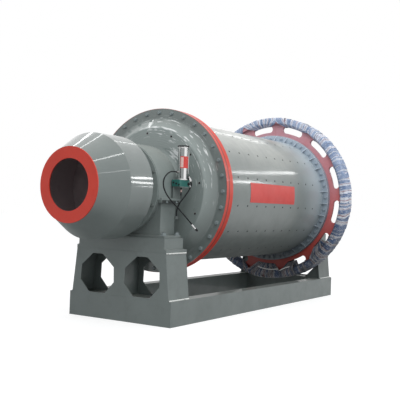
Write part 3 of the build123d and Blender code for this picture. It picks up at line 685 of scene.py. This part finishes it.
def make_fasteners():
    flange_bolt = bolt(0.040, 0.022)
    flange_nut = nut(0.040, 0.022, 0.012)
    small = bolt(0.030, 0.016)
    hole_rim = lathe(((0.0165, 0.0), (0.0160, 0.0015), (0.0135, 0.0026), (0.0120, 0.0018)), 20)
    # Dark discs in the liner holes: painted shade for the open holes
    hole_shade_disc = lathe(((0.0125, 0.0), (0.0125, 0.0024), (0.0090, 0.0030)), 16)
    for end, out in (("feed", -1), ("drive", 1)):
        bolts = ring_places(end_x(end, HEAD_FRONT[end]), BOLT_R[end], FLANGE_BOLTS, out)
        scatter(f"{end}_flange_bolts", flange_bolt, bolts, "bolt_grey", "drum", "grey_paint", 0.5)
        liner_places = ring_places(end_x(end, HEAD_FACE[end]), HEAD_LINER_R, HEAD_LINERS, out, 7.5)
        scatter(f"{end}_head_liner_rims", hole_rim, liner_places, "drum_grey", "drum", "grey_paint")
        scatter(f"{end}_head_liner_plugs", hole_shade_disc, liner_places, "black_steel", "drum", "dark_plastic")
        seal_places = ring_places(end_x(end, -0.014), SEAL_BOLT_R, SEAL_BOLTS, out, 22.5)
        scatter(f"{end}_seal_bolts", small, seal_places, "grey", "frame", "grey_paint", 0.5)
        foot, ledge, gap_shade = [], [], []
        for side in (-1, 1):
            for s in (0.062, 0.333):
                foot.append(stand((end_x(end, s), side * 0.600, 1.060), (0, 0, 1)))
            for s in (0.118, 0.318):
                ledge.append(stand((end_x(end, s), side * 0.589, 1.448), (0, 0, 1)))
            # Painted shadow: a dark strip in the gap between the bearing's cap and base
            strip = lathe(((0.0010, 0.0), (0.0020, 0.002), (0.0020, 0.346), (0.0010, 0.348)), 4)
            inwards = (end_x(end, 1) - end_x(end, 0), 0, 0)
            place = stand((end_x(end, 0.021), side * 0.5895, 1.461), inwards, (0, 0, 1))
            gap_shade.append(moved(strip, place @ Matrix.Diagonal((10.0, 1.0, 1.0, 1.0))))
        finish_mesh(f"{end}_gap_shadow_strips", *joined(*gap_shade), "gasket", "frame", "dark_plastic")
        scatter(f"{end}_foot_nuts", nut(0.050, 0.030, 0.012), foot, "bolt_grey", "frame", "grey_paint", 0.5)
        scatter(f"{end}_ledge_bolts", nut(0.026, 0.018, 0.010), ledge, "bolt_grey", "frame", "grey_paint", 0.5)
    feed_nuts = ring_places(FLANGE_BACK, BOLT_R["feed"], FLANGE_BOLTS, 1)
    scatter("feed_flange_nuts", flange_nut, feed_nuts, "orange", "drum", "orange_paint", 0.5)
    drive_nuts = ring_places(GEAR_X - 0.075, BOLT_R["drive"], FLANGE_BOLTS, -1, 12.425)
    scatter("drive_flange_nuts", flange_nut, drive_nuts, "blue_grey", "drum", "grey_paint", 0.5)
    for name, x in (("feed_neck_nuts", FEED_X - 0.160), ("spout_bolts", DRIVE_X + 0.220)):
        scatter(name, small, ring_places(x, NECK_BOLT_R, NECK_BOLTS, 1), "grey", "drum", "grey_paint", 0.5)
    places = []
    for row in range(LINER_ROWS):
        angle = 12.5 + 360 / LINER_ROWS * row
        for k in range(LINERS_IN_ROW):
            x = FEED_X + 0.970 + LINER_STEP * k
            places.append(stand(at(x, SHELL_R - 0.0006, angle), around(angle), (1, 0, 0)))
    scatter("shell_liner_rims", hole_rim, places, "shell", "drum", "grey_paint")
    # Painted shade in the shell's liner holes
    scatter("shell_liner_plugs", hole_shade_disc, places, "black_steel", "drum", "dark_plastic")


make_fasteners()


# Weld beads
def bead(points, radius, seed):
    """A rippled round bead along a polyline, half of it sunk in the plates that it joins."""
    draw = random.Random(seed)
    rows, sides = [], 7
    for start, end in zip(points, points[1:]):
        start, end = Vector(start), Vector(end)
        steps = max(2, int((end - start).length / 0.007))
        along = (end - start).normalized()
        side = along.orthogonal().normalized()
        other = along.cross(side)
        for k in range(steps + 1):
            r = radius * (0.85 + 0.15 * (k % 2) + draw.uniform(-0.12, 0.12))
            wander = side * draw.uniform(-0.1, 0.1) * radius + other * draw.uniform(-0.1, 0.1) * radius
            centre = start.lerp(end, k / steps) + wander
            turns = [2 * math.pi * j / sides for j in range(sides)]
            rows.append([tuple(centre + r * (math.cos(a) * side + math.sin(a) * other)) for a in turns])
    return [v for row in rows for v in row], tube_faces(len(rows), sides)


def ring_line(x, radius, steps=120):
    return [tuple(at(x, radius, 360 * k / steps)) for k in range(steps + 1)]


def make_welds():
    for end in ("feed", "drive"):
        chipped, plain_beads = [], []
        for side in (-1, 1):
            front, back = end_x(end, 0.004), end_x(end, 0.424)
            chipped.append(bead([(front, side * 0.687, 0.852), (back, side * 0.687, 0.852)], 0.009, side))
            chipped.append(bead([(front, side * 0.748, 0.303), (back, side * 0.748, 0.303)], 0.009, side + 5))
            shoulder = [(end_x(end, 0.0), side * 0.661, 0.897), (end_x(end, 0.39), side * 0.661, 0.897)]
            plain_beads.append(bead(shoulder, 0.006, side + 9))
            corner = [(end_x(end, 0.390), side * 0.731, 0.302), (end_x(end, 0.390), side * 0.671, 0.853)]
            plain_beads.append(bead(corner, 0.006, side + 13))
        plain_beads.append(bead([(end_x(end, 0.391), -0.66, 0.897), (end_x(end, 0.391), 0.66, 0.897)], 0.006, 17))
        plain_beads.append(bead([(end_x(end, 0.391), -0.73, 0.301), (end_x(end, 0.391), 0.73, 0.301)], 0.006, 19))
        finish_mesh(f"{end}_side_welds", *joined(*chipped), "weld", "frame", "grey_paint", 60)
        finish_mesh(f"{end}_pedestal_welds", *joined(*plain_beads), "grey", "frame", "grey_paint", 60)
    seam = bead(ring_line(FLANGE_BACK + 0.002, SHELL_R + 0.001), 0.006, 21)
    finish_mesh("drum_welds", *seam, "drum_grey", "drum", "grey_paint", 60)


make_welds()


# Small parts of the grease pump
LABEL_TURN = 32.8  # degrees from the near side towards the feed end, where the label's angles start
LABEL_SQUEEZE = 0.9999  # along X, a matter of micrometres


def wrapped_panel(centre, radius, start, end, low, high, steps=16):
    """A sheet bent round an upright cylinder, angles in degrees from LABEL_TURN towards the drive end."""
    verts, faces = [], []
    for k in range(steps + 1):
        a = math.radians(start + (end - start) * k / steps) - math.radians(LABEL_TURN)
        out = Vector((math.sin(a) * LABEL_SQUEEZE, -math.cos(a), 0)).normalized()
        for z in (low, high):
            verts.append(tuple(Vector((centre.x, centre.y, z)) + radius * out))
    for k in range(steps):
        faces.append((2 * k, 2 * k + 2, 2 * k + 3, 2 * k + 1))
    return verts, faces


def make_pump_parts():
    centre = pump_at(360, 47, 0)
    finish_mesh("reservoir_label", *wrapped_panel(centre, 0.0625, -54, 64, 1.872, 2.014), "red", "frame", "red_paint")
    finish_mesh("label_panel", *wrapped_panel(centre, 0.0629, -50, -18, 1.882, 2.004), "label", "frame")
    collar = lathe(((0.068, 0), (0.068, 0.010), (0.0655, 0.014), (0.0625, 0.014)), 48)
    band = lathe(((0.0625, 0), (0.0645, 0.003), (0.0645, 0.010), (0.0625, 0.013)), 48)
    rod = lathe(((0.0035, 0), (0.0035, 0.285), (0.0028, 0.287)), 10)
    uprights = ((collar, (360, 47, 224.2)), (band, (360, 47, 608)), (rod, (402, 98, 300)))
    rings = [moved(form, stand(pump_at(*place), (0, 0, 1))) for form, place in uprights]
    finish_mesh("reservoir_rings", *joined(*rings), "bright", "frame", "bright_metal")
    valve_top = pump_at(458.4, 67.4, 268)
    slant = valve_top - pump_at(473.6, 91, 212)
    dome = lathe(((0.0200, 0), (0.0200, 0.002), (0.0150, 0.010), (0.0060, 0.014)), 24)
    bend = lathe(((0.0050, 0), (0.0050, 0.018), (0.0062, 0.019), (0.0062, 0.024)), 14)
    knob = lathe(((0.0090, 0), (0.0160, 0.004), (0.0195, 0.012), (0.0195, 0.036), (0.0165, 0.046), (0.0110, 0.050)), 28)
    silver = [moved(bend, stand(pump_at(414, 100, 172), (0.8, -0.45, -0.25)))]
    silver.append(moved(bend, stand(pump_at(432, 110, 167), (0.30, -0.15, -1))))
    finish_mesh("valve_fittings", *joined(*silver), "bright", "frame", "bright_metal")
    finish_mesh("valve_knob", *moved(knob, stand(pump_at(473.6, 91, 214), slant)), "cast", "frame", "bright_metal")
    lever = lathe(((0.0070, 0), (0.0080, 0.020), (0.0095, 0.045), (0.0060, 0.052)), 14)
    black = [moved(dome, stand(valve_top, slant))]
    black.append(moved(lever, stand(pump_at(446, 70, 226), (-0.5, -0.5, 0.55))))
    black.append(moved(nut(0.026, 0.018, 0.012), stand(pump_at(412, 100, 178), (0, -1, 0))))
    finish_mesh("valve_cap", *joined(*black), "dark", "frame", "dark_plastic")
    upper = lathe(((0.012, 0), (0.012, 0.018), (0.008, 0.020), (0.008, 0.026)), 14)
    middle = lathe(((0.0095, 0), (0.0095, 0.026)), 14)
    lower = lathe(((0.007, 0), (0.007, 0.020), (0.010, 0.022), (0.010, 0.040), (0.005, 0.046), (0.005, 0.080)), 14)
    drains = [moved(form, stand(pump_at(330, 55, h), (0, 0, -1))) for form, h in ((upper, 131.9), (lower, 80))]
    finish_mesh("drain_fittings", *joined(*drains), "dark", "frame", "dark_plastic")
    finish_mesh("drain_sleeve", *moved(middle, stand(pump_at(330, 55, 106), (0, 0, -1))), "label", "frame")
    plugs = [moved(bolt(0.016, 0.010), stand(pump_at(236, 5 + 40 * k, 190 - 12 * k), (-1, 0, 0))) for k in range(3)]
    finish_mesh("pump_plugs", *joined(*plugs), "black_steel", "frame", "dark_plastic")


make_pump_parts()


# Cloth strips wound round the gear's rim, one group to each slot of its web
SLOTS = 13
SLOT_PHASE = -10.0
PITCH = 360 / SLOTS
SLOT_MIDDLE_R, SLOT_HALF = 1.144, 0.053  # a slot's middle line and half its height
SLOT_STRAIGHT = 6.5  # degrees from a slot's middle to the start of its rounded end
SLOT_REACH = 7.4  # degrees from a slot's middle that the cloth in it reaches
TURNS = 8
FIRST_TURN = 0.42  # how far into its own width the first turn starts
STRIP_WIDTH, STRIP_CELLS = 0.105, 8
THREAD_X, THREAD_HALF = -0.087, 0.006  # where the loose threads lie, and half their width
LOOP = [  # along X from the web's front face, radius, way out from the slot, share of the turn
    (-0.0030, 1.1945, 0.000, 0.00),
    (-0.0360, 1.2140, 0.040, 0.03),
    (-0.0690, 1.2325, 0.078, 0.06),
    (-0.0775, 1.2420, 0.086, 0.07),
    (-0.0790, 1.2650, 0.108, 0.09),
    (-0.0790, 1.2950, 0.138, 0.11),
    (-0.0750, 1.3140, 0.158, 0.125),
    (-0.0620, 1.3235, 0.175, 0.14),
    (-0.0350, 1.3255, 0.200, 0.17),
    (0.0100, 1.3245, 0.200, 0.21),
    (0.0550, 1.3255, 0.200, 0.26),
    (0.1000, 1.3245, 0.200, 0.31),
    (0.1400, 1.3255, 0.200, 0.36),
    (0.1660, 1.3240, 0.180, 0.39),
    (0.1800, 1.3140, 0.160, 0.41),
    (0.1840, 1.2900, 0.135, 0.44),
    (0.1840, 1.2600, 0.105, 0.47),
    (0.1800, 1.2380, 0.085, 0.50),
    (0.1660, 1.2305, 0.070, 0.53),
    (0.1200, 1.2275, 0.045, 0.60),
    (0.0800, 1.2200, 0.020, 0.67),
    (0.0560, 1.2020, 0.000, 0.73),
    (0.0480, 1.1950, 0.000, 0.78),
    (0.0250, 1.1945, 0.000, 0.88),
]
# How far out from the slots the cloth of two neighbouring groups meets, leaving a bare orange peak between them
PEAKS = (0.080, 0.060, 0.095, 0.126, 0.165, 0.130, 0.100, 0.120, 0.090, 0.110, 0.080, 0.060, 0.055)
# Groups whose cloth hangs across their slot, up to which share of the group it does, and how far down
HANGING = {10: 0.5, 11: -0.18, 12: 0.02}
HANGING_DROP = {10: 0.100, 11: 0.085, 12: 0.085}
# Which part of the striped cloth a turn shows: where it starts and how much it takes
PATTERNS = ((0.00, 0.50), (0.08, 0.50), (0.30, 0.36), (0.45, 0.55), (0.56, 0.40), (0.80, 0.45))
# Frayed white threads that hang over the lowest groups: radius and angle along each
THREADS = {
    10: [[(1.164, -99.0), (1.178, -95.2), (1.186, -90.5), (1.188, -86.1), (1.185, -80.6)]],
    11: [[(1.215, -79.4), (1.198, -76.8), (1.186, -74.2), (1.187, -70.2)]],
}


def finer_loop():
    """The loop with two points more between each pair, and the way that the cloth faces at each."""
    points = []
    for k, a in enumerate(LOOP):
        b = LOOP[(k + 1) % len(LOOP)]
        last_share = b[3] if k + 1 < len(LOOP) else 1.0
        for j in range(3):
            t = j / 3
            points.append([a[i] + (b[i] - a[i]) * t for i in range(3)] + [a[3] + (last_share - a[3]) * t])
    rows = []
    for k, (x, radius, way, share) in enumerate(points):
        before, after = points[k - 1], points[(k + 1) % len(points)]
        along, rise = after[0] - before[0], after[1] - before[1]
        size = math.hypot(along, rise)
        rows.append((x, radius, way, share, -rise / size, along / size))
    return rows


FINE_LOOP = finer_loop()


def slot_dip(offset):
    """How far a slot's outer edge falls towards its rounded ends."""
    over = SLOT_MIDDLE_R * math.radians(max(0.0, abs(offset) - SLOT_STRAIGHT))
    return SLOT_HALF - math.sqrt(max(0.0, SLOT_HALF**2 - over**2))


def strip_group(index):
    """One long strip wound through a slot turn by turn, spread wide over the teeth and bunched in the slot."""
    draw = random.Random(40 + index)
    middle = SLOT_PHASE + PITCH * index
    cells, width = STRIP_CELLS, STRIP_WIDTH
    verts, faces, uvs = [], [], []
    travelled, last, row = 0.0, None, 0
    for turn in range(TURNS):
        lean, skew = draw.uniform(-0.5, 0.5), draw.uniform(-1.3, 1.3)
        spare = draw.uniform(0.82, 1.10)
        lift = draw.uniform(0.0, 0.006)
        start, taken = PATTERNS[draw.choice((0, 0, 1, 1, 2, 3, 4, 5, 5))]
        turn_place = (turn + FIRST_TURN) / TURNS - 0.5
        hangs = HANGING_DROP[index] if index in HANGING and turn_place < HANGING[index] else 0.0
        for x, radius, way, share, out_x, out_r in FINE_LOOP:
            place = (turn + share + FIRST_TURN) / TURNS - 0.5
            peak = PEAKS[index] if place > 0 else PEAKS[index - 1]
            open_share = min(1.0, way / peak)
            half = SLOT_REACH + (PITCH / 2 + 0.5 - SLOT_REACH) * open_share
            inner = max(0.0, 1 - abs(place) * 2.6)
            angle = middle + place * 2 * half + (lean + skew * inner * math.cos(math.tau * share)) * open_share
            near_slot = max(0.0, 1 - way / 0.08)
            dip = (slot_dip(place * 2 * SLOT_REACH) + (hangs if x < 0.06 else 0.0)) * near_slot
            wide = width * spare * (0.58 + 0.42 * open_share)
            centre = at(GEAR_X + x, radius - dip, angle)
            if last is not None:
                travelled += (centre - last).length
            last = centre
            tangent = Vector((0.0, math.sin(math.radians(angle)), math.cos(math.radians(angle))))
            out = Vector((out_x, 0, 0)) + out_r * around(angle)
            for cell in range(cells + 1):
                u = cell / cells
                fold = noise.noise(Vector((turn * 7.3 + index * 3.1, u * 4.5, share * 14.0)))
                crease = noise.noise(Vector((turn * 2.7 + index * 5.9, u * 11.0, share * 26.0)))
                ragged = 0.006 * noise.noise(Vector((turn * 5.1 + index, u * 9.0 + 3.0, travelled * 20.0)))
                height = 0.0008 + 0.0036 * (1 - u) + (lift + 0.0042 * fold + 0.0020 * crease) * open_share
                verts.append(tuple(centre + tangent * ((u - 0.5) * wide + ragged) + out * max(0.0006, height)))
                uvs.append((start + u * taken, travelled * 12.0))
            if row:
                base = (row - 1) * (cells + 1)
                for cell in range(cells):
                    low = base + cell
                    faces.append((low, low + 1, low + cells + 2, low + cells + 1))
            row += 1
    for line in THREADS.get(index, ()):
        for k, (radius, angle) in enumerate(line):
            for side in (-THREAD_HALF, THREAD_HALF):
                verts.append(tuple(at(GEAR_X + THREAD_X, radius + side, angle)))
                uvs.append((THREAD_UV, k * 0.3))
            if k:
                faces.append((len(verts) - 4, len(verts) - 3, len(verts) - 1, len(verts) - 2))
    piece = finish_mesh(f"wrap_{index:02d}", verts, faces, "cloth", "drum", "wrap_cloth", 70)
    layer = piece.data.uv_layers.new(name="strip")
    for corner in piece.data.loops:
        layer.data[corner.index].uv = uvs[corner.vertex_index]
    return piece


STRIPS = [strip_group(k) for k in range(SLOTS)]
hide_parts("gear_wrap")


# Floor, background and light
def seen_directly(tree):
    """One where a ray comes from the camera, a reflection or glass, so that all three show the white background."""
    path = tree.nodes.new("ShaderNodeLightPath")
    seen = path.outputs["Is Camera Ray"]
    for name in ("Is Glossy Ray", "Is Transmission Ray"):
        both = tree.nodes.new("ShaderNodeMath")
        both.operation = "MAXIMUM"
        tree.links.new(seen, both.inputs[0])
        tree.links.new(path.outputs[name], both.inputs[1])
        seen = both.outputs[0]
    return seen


def make_floor():
    s = Shader("floor")
    tone = s.mix(s.span(s.noise(0.6, 3.0), 0.3, 0.7), (0.36, 0.36, 0.36), (0.38, 0.38, 0.38))
    s.put(Base_Color=tone, Roughness=0.9, Specular_IOR_Level=0.1, Emission_Color=(1.0, 1.0, 1.0))
    s.put(Emission_Strength=s.math("MULTIPLY", seen_directly(s.tree), 0.72))
    mesh = bpy.data.meshes.new("floor")
    mesh.from_pydata([(-60, -60, 0), (60, -60, 0), (60, 60, 0), (-60, 60, 0)], [], [(0, 1, 2, 3)])
    mesh.materials.append(s.material)
    floor = bpy.data.objects.new("floor", mesh)
    scene.collection.objects.link(floor)


def make_world():
    world = bpy.data.worlds.new("studio")
    scene.world = world
    world.use_nodes = True
    tree = world.node_tree
    light, shown = tree.nodes["Background"], tree.nodes.new("ShaderNodeBackground")
    light.inputs["Color"].default_value = (0.95, 0.98, 1.0, 1.0)
    light.inputs["Strength"].default_value = 0.70
    shown.inputs["Color"].default_value = (1.0, 1.0, 1.0, 1.0)
    shown.inputs["Strength"].default_value = 1.0
    mix = tree.nodes.new("ShaderNodeMixShader")
    tree.links.new(seen_directly(tree), mix.inputs["Fac"])
    tree.links.new(light.outputs[0], mix.inputs[1])
    tree.links.new(shown.outputs[0], mix.inputs[2])
    tree.links.new(mix.outputs[0], tree.nodes["World Output"].inputs["Surface"])


def lamp(name, where, target, size, brightness, along=(1, 0, 0), shine=True):
    """A rectangular lamp, its long side along a direction, bright by its own surface and not by its size."""
    data = bpy.data.lights.new(name, "AREA")
    data.shape = "RECTANGLE"
    data.size, data.size_y = size
    data.energy = brightness * math.pi * size[0] * size[1]
    light = bpy.data.objects.new(name, data)
    back = (Vector(where) - Vector(target)).normalized()
    side = (Vector(along) - Vector(along).dot(back) * back).normalized()
    turn = Matrix((side, back.cross(side), back)).transposed()
    light.matrix_world = Matrix.Translation(where) @ turn.to_4x4()
    light.visible_camera = False
    light.visible_glossy = shine
    scene.collection.objects.link(light)


# The row of narrow lamps that the shell shows as a broken streak: place along the row, length and brightness
ROW_MIDDLE, ROW_ALONG = Vector((6.14, -3.24, 4.19)), Vector((0.38, 0.88, -0.12))
WINDOW_ROW = ((-0.78, 0.34, 17.0), (-0.38, 0.26, 10.0), (-0.04, 0.20, 13.0), (0.28, 0.22, 10.0), (0.70, 0.42, 18.0))


def make_lamps():
    lamp("overhead", (-0.5, 0.5, 8.0), (0.0, 0.0, 1.6), (9.0, 4.0), 1.2, shine=False)
    lamp("key", (-5.0, -5.0, 7.2), (-1.0, -0.5, 1.7), (5.0, 4.0), 4.5, along=(0.7, -0.7, 0), shine=False)
    lamp("near_side", (-3.5, -8.5, 2.6), (-0.5, 0.0, 1.2), (7.0, 2.5), 0.7, shine=False)
    lamp("far_side", (2.5, 9.0, 4.5), (0.0, 0.0, 1.4), (7.0, 3.0), 1.2, shine=False)
    lamp("drive_end", (9.0, 1.0, 4.5), (2.5, 0.0, 1.4), (4.0, 3.0), 1.8, along=(0, 1, 0), shine=False)
    for k, (offset, length, brightness) in enumerate(WINDOW_ROW):
        where = ROW_MIDDLE + offset * ROW_ALONG
        lamp(f"shell_streak_{k}", where, (-0.03, -0.88, 1.92), (length, 0.24), brightness, along=ROW_ALONG)
    lamp("shell_streak_low", (5.43, -4.10, 3.08), (-0.66, -0.92, 1.76), (0.62, 0.26), 17.0, along=ROW_ALONG)
    lamp("shell_streak_top", (6.00, 1.64, 5.20), (-0.04, -0.49, 2.40), (1.60, 0.14), 6.0, along=(0.92, -0.38, -0.05))
    lamp("drum_streak_1", (2.31, -3.97, 3.13), (-2.45, -0.61, 1.71), (0.50, 0.30), 15.0, along=(0.51, 0.84, 0.19))
    lamp("drum_streak_2", (2.31, -4.17, 2.45), (-2.46, -0.61, 1.66), (0.50, 0.30), 12.0, along=(0.58, 0.80, -0.10))
    lamp("drum_streak_3", (2.40, -4.22, 1.89), (-2.39, -0.61, 1.62), (0.34, 0.10), 9.0, along=(0.55, 0.76, 0.30))
    lamp("cone_tube_1", (-0.31, 3.71, 6.09), (-2.82, -0.04, 2.13), (2.2, 0.28), 6.0, along=(1, 0.4, 0))
    lamp("cone_tube_2", (-1.17, 2.23, 7.35), (-2.83, -0.16, 2.1), (1.6, 0.18), 7.0, along=(1, 0.4, 0))
    lamp("cone_tube_3", (-2.92, -3.13, 7.27), (-2.83, -0.41, 1.92), (0.95, 0.20), 15.0, along=(0.87, -0.48, 0.05))
    lamp("cone_tube_4", (-3.52, -5.63, 4.79), (-2.82, -0.50, 1.76), (0.85, 0.08), 10.0, along=(0.94, -0.29, 0.18))
    lamp("drum_tube", (2.23, 1.43, 5.44), (-2.43, -0.35, 2.12), (0.6, 0.07), 8.0, along=(0.61, -0.52, -0.6))


make_floor()
make_world()
make_lamps()
